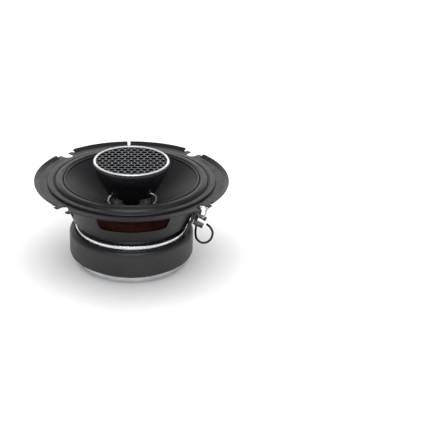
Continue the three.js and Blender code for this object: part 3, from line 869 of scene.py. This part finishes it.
# ---- Basket --------------------------------------------------------------------------
BASKET_OUTLINE = [
    (22.0, 28.3), (36.4, 28.3), (36.4, 30.5), (37.1, 31.3), (39.4, 31.5), (40.4, 32.4), (41.5, 35.1),
    (43.2, 39.0), (45.0, 43.0), (47.4, 47.5), (50.2, 52.0), (53.2, 56.0), (55.8, 57.9), (57.6, 58.3),
    (63.2, 58.3), (64.3, 58.3), (65.4, 58.3), (66.4, 58.3), (66.4, 59.2), (65.4, 59.2), (64.3, 59.2),
    (63.2, 59.2), (53.4, 59.2), (51.9, 56.9), (48.9, 52.6), (46.1, 48.1), (43.8, 43.6), (42.0, 39.6),
    (40.2, 35.6), (39.8, 33.2), (36.0, 33.2), (34.8, 29.5), (22.0, 29.5),
]  # fmt: skip
LIP_FOOT, LIP_EDGE, LIP_RISE = 63.2, 66.4, 1.8
TAB_HALF, CUT_WIDTH, CUT_DEPTH = 7.5, 1.4, 2.8
SLOT_HALF, SLOT_END = 3.75, 63.0


def lip_share(x, y):
    """How far the flange's lip is turned up at a place: 0 on the tabs beside the bolt slots."""
    r = math.hypot(x, y) / MM
    angle = math.degrees(math.atan2(y, x))
    off = (angle - SLOT_TURN + 45) % 90 - 45
    aside = abs(r * math.sin(math.radians(off)))
    return eased(aside, TAB_HALF - 0.6, TAB_HALF + 0.6) * max(0.0, (r - LIP_FOOT) / (LIP_EDGE - LIP_FOOT))


def window_cutter(turn):
    """A basket window: narrower at its foot, with round lower corners."""
    foot, top, low, high, corner = 22.2, 25.8, 41.0, 55.4, 3.7
    side = [(foot + 0.8, low + corner), (top - 0.9, high - 1.2), (top - 1.6, high)]
    bend = []
    for i in range(9):
        t = i / 8
        y = (foot - corner) * (1 - t) ** 2 + foot * 2 * t * (1 - t) + (foot + 0.8) * t**2
        z = low * (1 - t) ** 2 + low * 2 * t * (1 - t) + (low + corner) * t**2
        bend.append((y, z))
    half = bend + side[1:]
    outline = half + [(-y, z) for y, z in reversed(half)]
    bm = bmesh.new()
    near = [bm.verts.new((30 * MM, y * MM, z * MM)) for y, z in outline]
    far = [bm.verts.new((60 * MM, y * MM, z * MM)) for y, z in outline]
    bm.faces.new(near[::-1])
    bm.faces.new(far)
    count = len(outline)
    for i in range(count):
        bm.faces.new([near[i], near[(i + 1) % count], far[(i + 1) % count], far[i]])
    bmesh.ops.rotate(bm, verts=bm.verts, matrix=Matrix.Rotation(math.radians(turn), 3, "Z"))
    return piece_from("window_cutter", bm)


def flange_cutters():
    """Bolt slots, the break-off cuts beside them, and the locating nick."""
    slot = [(70, -SLOT_HALF), *arc(SLOT_END, 0, SLOT_HALF, -90, -270, 24), (70, SLOT_HALF)]
    cutters = []
    for quarter in QUARTERS:
        cutters.append(prism("slot_cutter", slot, 50, 70, SLOT_TURN + quarter))
        for side in (-TAB_HALF, TAB_HALF):
            near, low, high = LIP_EDGE - CUT_DEPTH, side - CUT_WIDTH / 2, side + CUT_WIDTH / 2
            floor = [(near + 0.5, low), (near, low + 0.5), (near, high - 0.5), (near + 0.5, high)]
            notch = [(70, low), *floor, (70, high)]
            cutters.append(prism("notch_cutter", notch, 50, 70, SLOT_TURN + quarter))
        cutters.append(window_cutter(WINDOW_TURN + quarter))
    nick = [(70, -1.0), (63.2, -1.0), (62.6, -0.5), (62.6, 0.5), (63.2, 1.0), (70, 1.0)]
    cutters.append(prism("nick_cutter", nick, 50, 70, 91.6))
    return cutters


def joined(cutters):
    """Cutters that don't touch each other, as one mesh, so that one cut takes them all."""
    bm = bmesh.new()
    for cutter in cutters:
        bm.from_mesh(cutter.data)
        bpy.data.objects.remove(cutter)
    return piece_from("cutters", bm)


def make_basket(sizes):
    """Pressed steel basket with its flange, windows and bolt slots."""
    basket = turned("basket_piece", softened(BASKET_OUTLINE, 0.3), 240)
    for vertex in basket.data.vertices:
        vertex.co.z += LIP_RISE * MM * lip_share(vertex.co.x, vertex.co.y)
    cut_away(basket, [joined(flange_cutters())])
    bevel = basket.modifiers.new("broken edges", "BEVEL")
    bevel.width = sizes.edge_break
    bevel.segments = 2
    bevel.limit_method = "ANGLE"
    bevel.angle_limit = math.radians(48)
    bevel.use_clamp_overlap = True
    bpy.context.view_layer.update()
    settled(basket)
    bm = bmesh.new()
    bm.from_mesh(basket.data)
    bmesh.ops.remove_doubles(bm, verts=bm.verts, dist=2e-6)
    bmesh.ops.triangulate(bm, faces=[f for f in bm.faces if len(f.verts) > 4])
    bm.to_mesh(basket.data)
    bm.free()
    smooth(basket, 35)
    dressed(basket, ["basket"], "black_steel")


# ---- Bass driver ---------------------------------------------------------------------
def make_cone():
    """Pressed pulp cone with its curved flare and glued rim."""
    neck, flare = 13.05, 43.4
    upper = []
    for i in range(13):
        t = i / 12
        upper.append((neck + t * (flare - neck), 42.0 + 18.0 * (0.82 * t + 0.18 * t * t)))
    under = [(r, z - 0.9) for r, z in upper]
    rim = [(44.6, 59.7), (46.1, 59.7), (46.1, 60.6), (44.2, 60.6)]
    cone = turned("cone_piece", softened(under + rim + upper[::-1], 0.3))
    smooth(cone)
    dressed(cone, ["cone"], "cone_pulp", CONE)


def make_surround():
    """Rubber surround: an inner land on the cone, two low rolls and a gasket on the flange."""
    outline = [
        (44.8, 60.9), (46.2, 60.9), (46.6, 59.8), (47.7, 61.0), (49.0, 61.3), (50.5, 61.1), (51.6, 60.1),
        (52.2, 58.9), (53.0, 58.9), (53.6, 59.25), (57.5, 59.25), (57.2, 60.1), (56.7, 60.4), (53.7, 60.4),
        (53.3, 60.1), (52.9, 59.5), (52.4, 59.5), (51.9, 60.7), (50.8, 61.7), (49.1, 61.9), (47.7, 61.7),
        (47.0, 61.1), (46.6, 60.3), (46.3, 60.9), (45.8, 61.5), (45.1, 61.5),
    ]  # fmt: skip
    surround = turned("surround_piece", softened(outline, 0.5))
    smooth(surround, 60)
    dressed(surround, ["surround"], "surround_rubber", None)
    set_follow(surround)


CLOTH_THICK = 0.5 * MM


def make_spider():
    """Corrugated cotton spider that centres the coil."""
    values = {"Finish": finish_for("spider_cloth")}
    spider = grown("spider_piece", corrugation_tree(), values)
    thick = spider.modifiers.new("cloth", "SOLIDIFY")
    thick.thickness = CLOTH_THICK
    thick.offset = 0.0
    bpy.context.view_layer.update()
    settled(spider)
    smooth(spider, 60)
    dressed(spider, ["spider"], "spider_cloth", None)
    set_follow(spider)


def tweeter_lead_lines():
    """The routes of the tweeter's leads, from the pod to the cone: angle, distance and height."""
    left = [
        (-139.5, 18.2, 53.0), (-140.5, 19.6, 52.0), (-141.0, 20.3, 49.9), (-140.5, 19.6, 47.6),
        (-139.5, 18.4, 45.8),
    ]  # fmt: skip
    right = [
        (-50.5, 20.0, 56.3), (-45.0, 21.0, 55.0), (-38.5, 21.2, 52.2), (-37.5, 20.4, 49.0),
        (-39.5, 18.6, 45.9),
    ]  # fmt: skip
    return {"tweeter_lead_left": left, "tweeter_lead_right": right}


def tinsel_lead_line(side):
    """The route of a bass lead, from the back of the cone to its blade, drawn straight ahead of +X."""
    route = [
        (24.8, side * 0.5, 45.6), (29, side * 0.55, 42.8), (35, side * 0.6, 42.2), (41, side * 0.62, 45.0),
        (46.5, side * 0.65, 49.6), (51, side * 0.8, 50.2), (53.6, side * 0.95, 46.6), (53.2, side, 42.4),
        (50.9, side, 39.4),
    ]  # fmt: skip
    turn = Matrix.Rotation(math.radians(TERMINAL_TURN), 3, "Z")
    return [turn @ (Vector(p) * MM) for p in route]


def make_leads(sizes):
    """Tinsel leads: two from the cone out to the blades, and two from the tweeter to the cone."""
    for name, side in (("tinsel_lead_front", -5.5), ("tinsel_lead_rear", 5.5)):
        line, _ = flowing(tinsel_lead_line(side), 96)
        lead = twisted(name + "_piece", line, sizes.tinsel_radius)
        finish_lead(lead, name)
    for name, route in tweeter_lead_lines().items():
        line, _ = flowing([polar(*p) for p in route], 40)
        lead = twisted(name + "_piece", line, sizes.tinsel_radius)
        finish_lead(lead, name)


def finish_lead(lead, name):
    """Smooths a lead, gives it its finish and bakes its placement into its mesh."""
    smooth(lead, 80)
    dressed(lead, [name], "tinsel", None)
    set_follow(lead)


# ---- Motor and tweeter: turned pieces ------------------------------------------------
TURNED_PIECES = [
    # CAD node it stands for, slot, body, softening in mm, outline in mm
    ("back_plate_and_pole", "zinc_steel", FRAME, 0.35,
     [(4.8, 0), (37.2, 0), (37.8, 0.6), (37.8, 3.7), (37.3, 4.2), (12.0, 4.2), (12.0, 27.4), (11.2, 28.0),
      (2.4, 28.0), (2.4, 3.4), (4.8, 3.4)]),
    ("ferrite_magnet", "ferrite", FRAME, 0.4, [(19.0, 4.5), (38.4, 4.5), (38.4, 22.7), (19.0, 22.7)]),
    ("magnet_boot", "boot_rubber", FRAME, 0.5,
     [(39.2, 6.2), (41.2, 6.2), (42.5, 6.8), (43.0, 8.0), (43.0, 21.7), (42.6, 23.3), (41.7, 24.5),
      (40.8, 24.9), (39.2, 24.9)]),
    ("voice_coil_former", "coil_former", CONE, 0.05,
     [(12.45, 17.5), (12.75, 17.5), (12.75, 43.6), (12.45, 43.6)]),
    ("voice_coil", "copper_wire", CONE, 0.15, [(13.05, 19.5), (13.55, 19.5), (13.55, 31.5), (13.05, 31.5)]),
    ("dust_ring", "felt", CONE, 0.3, [(6.0, 41.2), (12.15, 41.2), (12.15, 42.6), (6.0, 42.6)]),
    ("tweeter_post", "black_steel", FRAME, 0.3, [(2.4, 28.3), (5.0, 28.3), (5.0, 50.2), (2.4, 50.2)]),
    ("tweeter_pod", "black_plastic", FRAME, 0.5,
     [(2.4, 50.5), (15.6, 50.5), (17.0, 51.7), (18.8, 55.2), (21.3, 60.0), (23.6, 64.4), (25.3, 68.2),
      (26.0, 71.0), (26.0, 73.0), (24.5, 73.0), (24.2, 69.6), (22.4, 66.2), (20.6, 66.2), (19.2, 60.4),
      (16.4, 52.3), (2.4, 52.3)]),
    ("trim_ring", "silver_paint", FRAME, 0.25,
     [(24.2, 73.3), (25.8, 73.3), (25.8, 73.7), (25.3, 74.2), (24.7, 74.2), (24.2, 73.8)]),
    ("tweeter_faceplate", "black_plastic", FRAME, 0.3,
     [(14.6, 66.5), (21.9, 66.5), (23.0, 69.2), (23.4, 70.4), (22.0, 70.4), (20.6, 68.4), (16.2, 67.5),
      (14.6, 67.5)]),
    ("tweeter_coil", "copper_wire", DOME, 0.15, [(12.3, 61.6), (12.9, 61.6), (12.9, 65.6), (12.3, 65.6)]),
]  # fmt: skip


def make_turned():
    """Plates, magnet, boot, post, pod, rings and coils, all turned about the axis."""
    for name, slot_name, body, soft, outline in TURNED_PIECES:
        piece = turned(name + "_piece", softened(outline, soft))
        smooth(piece)
        dressed(piece, [name], slot_name, body)


def make_dome():
    """Silk dome with its half-roll edge, drawn from the axis outward."""
    upper = [(0, 71.0)]
    for i in range(1, 17):
        angle = math.radians(90 - 78 * i / 16)
        upper.append((12.9 * math.cos(angle), 66.4 + 4.6 * math.sin(angle)))
    half_roll = [(13.0, 66.9), (13.35, 66.75), (13.8, 66.7), (14.2, 66.45)]
    edge = [*half_roll, (14.2, 66.0), (13.6, 66.1), (13.1, 66.2)]
    under = [(max(0.0, r - 0.35), z - 0.45) for r, z in reversed(upper)]
    under[-1] = (0, 70.55)
    dome = turned("tweeter_dome_piece", upper + edge + under, 96, closed=False)
    smooth(dome, 60)
    dressed(dome, ["tweeter_dome"], "silk", DOME)


ROLLED_EDGE = 0.12 * MM  # rounding that the punch leaves


def make_grille(sizes):
    """Honeycomb grille, punched in offset rows."""
    values = {
        "Pitch": sizes.hexagon_pitch,
        "Web": sizes.hexagon_web,
        "Finish": finish_for("grille_steel"),
    }
    grille = grown("honeycomb_grille_piece", perforation_tree(), values)
    bevel = grille.modifiers.new("rolled edges", "BEVEL")
    bevel.width = ROLLED_EDGE
    bevel.segments = 2
    bevel.angle_limit = math.radians(40)
    bpy.context.view_layer.update()
    settled(grille)
    smooth(grille, 35)
    dressed(grille, ["honeycomb_grille"], "grille_steel")


def make_top_plate():
    """Top plate with its rivets: their heads stand on the foot of the basket."""
    outline = [(14.0, 23.0), (38.9, 23.0), (38.9, 27.6), (38.5, 28.0), (14.0, 28.0)]
    plate = turned("top_plate_piece", softened(outline, 0.35))
    smooth(plate)
    dressed(plate, ["top_plate"], "zinc_steel")
    values = {"Turn": math.radians(RIVET_TURN), "Finish": finish_for("zinc_steel")}
    rivets = grown("plate_rivets_piece", rivet_ring_tree(), values)
    smooth(rivets, 60)
    dressed(rivets, [f"plate_rivet_{i}" for i in (1, 2, 3, 4)], "zinc_steel")


# ---- Terminals and capacitor ---------------------------------------------------------
SMALL_PIECES = [
    # node, slot, bevel in mm
    ("post_screw", "zinc_steel", 0.2),
    ("post_nut", "zinc_steel", 0.15),
    ("tweeter_cup", "nickel_plate", 0.3),
    ("tweeter_magnet", "nickel_plate", 0.3),
    ("tweeter_pole_disc", "zinc_steel", 0.3),
    ("terminal_board", "black_plastic", 0.2),
    ("terminal_blade_wide", "terminal_brass", 0.12),
    ("terminal_blade_narrow", "terminal_brass", 0.12),
    ("blade_rivet_wide", "terminal_brass", 0.15),
    ("blade_rivet_narrow", "terminal_brass", 0.15),
    ("board_rivet", "zinc_steel", 0.15),
]


def make_small_pieces():
    """Screw, nut, tweeter motor and the terminal board with its blades and rivets."""
    for node, slot_name, bevel in SMALL_PIECES:
        piece = copied(node + "_piece", node, bevel)
        smooth(piece, 30)
        dressed(piece, [node], slot_name)
        if node == "terminal_board":
            piece.data.materials[0] = phenolic_board()


CAPACITOR_TURN, CAPACITOR_ORBIT, CAPACITOR_Z = 15.8, 45.2, 31.6
CAPACITOR_ROUTE = [
    (6.9, 45.2, 31.6), (1, 45.0, 29.0), (-5, 44.9, 26.0), (-10, 44.9, 23.4), (-14.5, 46.2, 20.5),
    (-16.2, 49.6, 18.6), (-15.8, 53.4, 18.8), (-14.4, 56.3, 21.3), (-13.2, 57.2, 25.4), (-12.4, 55.4, 28.9),
    (-11.0, 52.6, 30.6),
]  # fmt: skip


def make_capacitor(sizes):
    """Crossover capacitor in a shrunk sleeve, with the insulated lead that loops to its blade."""
    outline = [
        (0, -6.1), (3.0, -6.1), (3.3, -6.5), (3.9, -6.4), (4.25, -5.9), (4.15, -5.2), (4.4, -4.6), (4.4, 4.6),
        (4.15, 5.2), (4.25, 5.9), (3.9, 6.4), (3.3, 6.5), (3.0, 6.1), (0, 6.1),
    ]  # fmt: skip
    can = turned("crossover_capacitor_piece", softened(outline, 0.2), 64, closed=False)
    lay = Matrix.Rotation(math.radians(CAPACITOR_TURN), 4, "Z")
    lay @= Matrix.Translation((CAPACITOR_ORBIT * MM, 0, CAPACITOR_Z * MM))
    lay @= Matrix.Rotation(math.radians(90), 4, "X")
    can.data.transform(lay)
    smooth(can, 50)
    dressed(can, ["crossover_capacitor"], "black_sleeve")
    line, length = flowing([polar(*p) for p in CAPACITOR_ROUTE], 72)
    bm = bmesh.new()
    tube(bm, line, sizes.hook_up_radius, 14)
    lead = piece_from("capacitor_lead_piece", bm)
    smooth(lead, 60)
    dressed(lead, ["capacitor_lead"], "black_sleeve")


# ---- Stage ---------------------------------------------------------------------------
def make_lamp(name, place, aim, size, watts):
    """A rectangular lamp that faces a point."""
    light = bpy.data.lights.new(name, "AREA")
    light.shape = "RECTANGLE"
    light.size, light.size_y = size
    light.energy = watts
    lamp = bpy.data.objects.new(name, light)
    lamp.location = place
    lamp.rotation_euler = (Vector(aim) - Vector(place)).to_track_quat("-Z", "Y").to_euler()
    bpy.context.scene.collection.objects.link(lamp)
    return lamp


def make_stage(sizes):
    """Pale floor, studio lamps, backdrop light and the camera."""
    bm = bmesh.new()
    bmesh.ops.create_grid(bm, x_segments=4, y_segments=4, size=6)
    floor = piece_from("floor", bm)
    floor.data.materials.append(matt_backdrop())
    world = bpy.data.worlds.new("studio")
    world.use_nodes = True
    background = world.node_tree.nodes["Background"]
    background.inputs["Color"].default_value = (*sizes.backdrop_colour, 1.0)
    background.inputs["Strength"].default_value = sizes.room_light
    scene = bpy.context.scene
    scene.world = world
    scene.view_settings.view_transform = "Standard"
    overhead = make_lamp("overhead", (0.0, -0.1, 1.0), (0, 0, 0), (2.2, 2.0), sizes.overhead_watts)
    overhead.visible_glossy = False
    front_card = make_lamp("front_card", (0.0, -0.9, 0.8), (0, 0, 0.04), (0.9, 0.3), sizes.front_watts)
    front_card.visible_diffuse = False
    rear_card = make_lamp("rear_card", (0.0, 0.5, 0.21), (0, 0, 0.06), (1.1, 0.22), sizes.card_watts)
    rear_card.visible_diffuse = False
    rear_card.visible_camera = False
    camera = bpy.data.cameras.new("camera")
    camera.lens = 97.98
    camera.sensor_width = 36
    camera.shift_x, camera.shift_y = 0.1922, -0.0342
    eye = bpy.data.objects.new("camera", camera)
    eye.location = (0, -0.7257, 0.3817)
    eye.rotation_euler = (math.radians(90 - 24.89), 0, 0)
    scene.collection.objects.link(eye)
    scene.camera = eye


# ---- Add-on --------------------------------------------------------------------------
class SpeakerSizes(bpy.types.PropertyGroup):
    """Sizes and colours of the speaker's pieces."""

    edge_break: FloatProperty(
        name="Edge break",
        description="Bevel on the basket's cut edges",
        default=0.00025,
        unit="LENGTH",
        precision=5,
    )
    hexagon_pitch: FloatProperty(
        name="Hexagon pitch",
        description="Spacing of the grille's holes",
        default=0.00436,
        unit="LENGTH",
        precision=5,
    )
    hexagon_web: FloatProperty(
        name="Hexagon web",
        description="Metal left between two holes",
        default=0.00062,
        unit="LENGTH",
        precision=5,
    )
    tinsel_radius: FloatProperty(
        name="Tinsel radius",
        description="Radius of a twisted tinsel lead",
        default=0.0006,
        unit="LENGTH",
        precision=5,
    )
    hook_up_radius: FloatProperty(
        name="Hook-up radius",
        description="Radius of the insulated lead",
        default=0.0008,
        unit="LENGTH",
        precision=5,
    )
    ring_tint: FloatVectorProperty(
        name="Ring tint", description="Tint of the silver trim ring", default=(1, 1, 1), subtype="COLOR"
    )


class StageSizes(bpy.types.PropertyGroup):
    """Lights and colours of the stage."""

    backdrop_colour: FloatVectorProperty(
        name="Backdrop",
        description="Colour of the studio round the floor",
        default=(1, 1, 1),
        subtype="COLOR",
    )
    room_light: FloatProperty(
        name="Room light", description="Strength of the light from all round", default=0.3, min=0
    )
    overhead_watts: FloatProperty(
        name="Overhead lamp", description="Power of the lamp above", default=29.0, min=0, unit="POWER"
    )
    front_watts: FloatProperty(
        name="Front card", description="Power of the card above the camera", default=6.0, min=0, unit="POWER"
    )
    card_watts: FloatProperty(
        name="Rear card", description="Power of the white card behind", default=1.1, min=0, unit="POWER"
    )


class SPEAKER_OT_stage(bpy.types.Operator):
    """Floor, lamps and camera"""

    bl_idname = "speaker.stage"
    bl_label = "Stage"

    def execute(self, context):
        make_stage(context.scene.stage_sizes)
        return {"FINISHED"}


class SPEAKER_OT_capacitor(bpy.types.Operator):
    """Crossover capacitor and its lead"""

    bl_idname = "speaker.capacitor"
    bl_label = "Capacitor"

    def execute(self, context):
        make_capacitor(context.scene.speaker_sizes)
        return {"FINISHED"}


class SPEAKER_OT_basket(bpy.types.Operator):
    """Pressed steel basket"""

    bl_idname = "speaker.basket"
    bl_label = "Basket"

    def execute(self, context):
        make_basket(context.scene.speaker_sizes)
        return {"FINISHED"}


class SPEAKER_OT_diaphragm(bpy.types.Operator):
    """Cone, surround and spider"""

    bl_idname = "speaker.diaphragm"
    bl_label = "Diaphragm"

    def execute(self, context):
        make_cone()
        make_surround()
        make_spider()
        return {"FINISHED"}


class SPEAKER_OT_motor(bpy.types.Operator):
    """Plates, magnet, boot, pod and rings"""

    bl_idname = "speaker.motor"
    bl_label = "Motor and turned pieces"

    def execute(self, context):
        make_turned()
        make_top_plate()
        return {"FINISHED"}


class SPEAKER_OT_tweeter(bpy.types.Operator):
    """Dome and honeycomb grille"""

    bl_idname = "speaker.tweeter"
    bl_label = "Tweeter"

    def execute(self, context):
        make_dome()
        make_grille(context.scene.speaker_sizes)
        return {"FINISHED"}


class SPEAKER_OT_terminals(bpy.types.Operator):
    """Terminal board and small fixings"""

    bl_idname = "speaker.terminals"
    bl_label = "Terminals"

    def execute(self, context):
        make_small_pieces()
        return {"FINISHED"}


class SPEAKER_OT_leads(bpy.types.Operator):
    """Tinsel leads of the cone and of the tweeter"""

    bl_idname = "speaker.leads"
    bl_label = "Leads"

    def execute(self, context):
        make_leads(context.scene.speaker_sizes)
        return {"FINISHED"}


OPERATORS = [
    SPEAKER_OT_stage,
    SPEAKER_OT_capacitor,
    SPEAKER_OT_basket,
    SPEAKER_OT_diaphragm,
    SPEAKER_OT_motor,
    SPEAKER_OT_tweeter,
    SPEAKER_OT_terminals,
    SPEAKER_OT_leads,
]


class SPEAKER_PT_pieces(bpy.types.Panel):
    """Lists the speaker's pieces."""

    bl_label = "Coaxial Speaker"
    bl_idname = "SPEAKER_PT_pieces"
    bl_space_type = "VIEW_3D"
    bl_region_type = "UI"
    bl_category = "Speaker"

    def draw(self, context):
        for operator in OPERATORS:
            self.layout.operator(operator.bl_idname, text=operator.bl_label)


CLASSES = [SpeakerSizes, StageSizes, *OPERATORS, SPEAKER_PT_pieces]


def register():
    """Makes the classes and the two groups of settings known."""
    for item in CLASSES:
        bpy.utils.register_class(item)
    bpy.types.Scene.speaker_sizes = PointerProperty(type=SpeakerSizes)
    bpy.types.Scene.stage_sizes = PointerProperty(type=StageSizes)


def unregister():
    """Takes back what register made known."""
    del bpy.types.Scene.stage_sizes
    del bpy.types.Scene.speaker_sizes
    for item in reversed(CLASSES):
        bpy.utils.unregister_class(item)


def main():
    """Makes every piece and the stage."""
    register()
    for operator in OPERATORS:
        getattr(bpy.ops.speaker, operator.bl_idname.split(".")[1])()


if __name__ == "__main__":
    main()
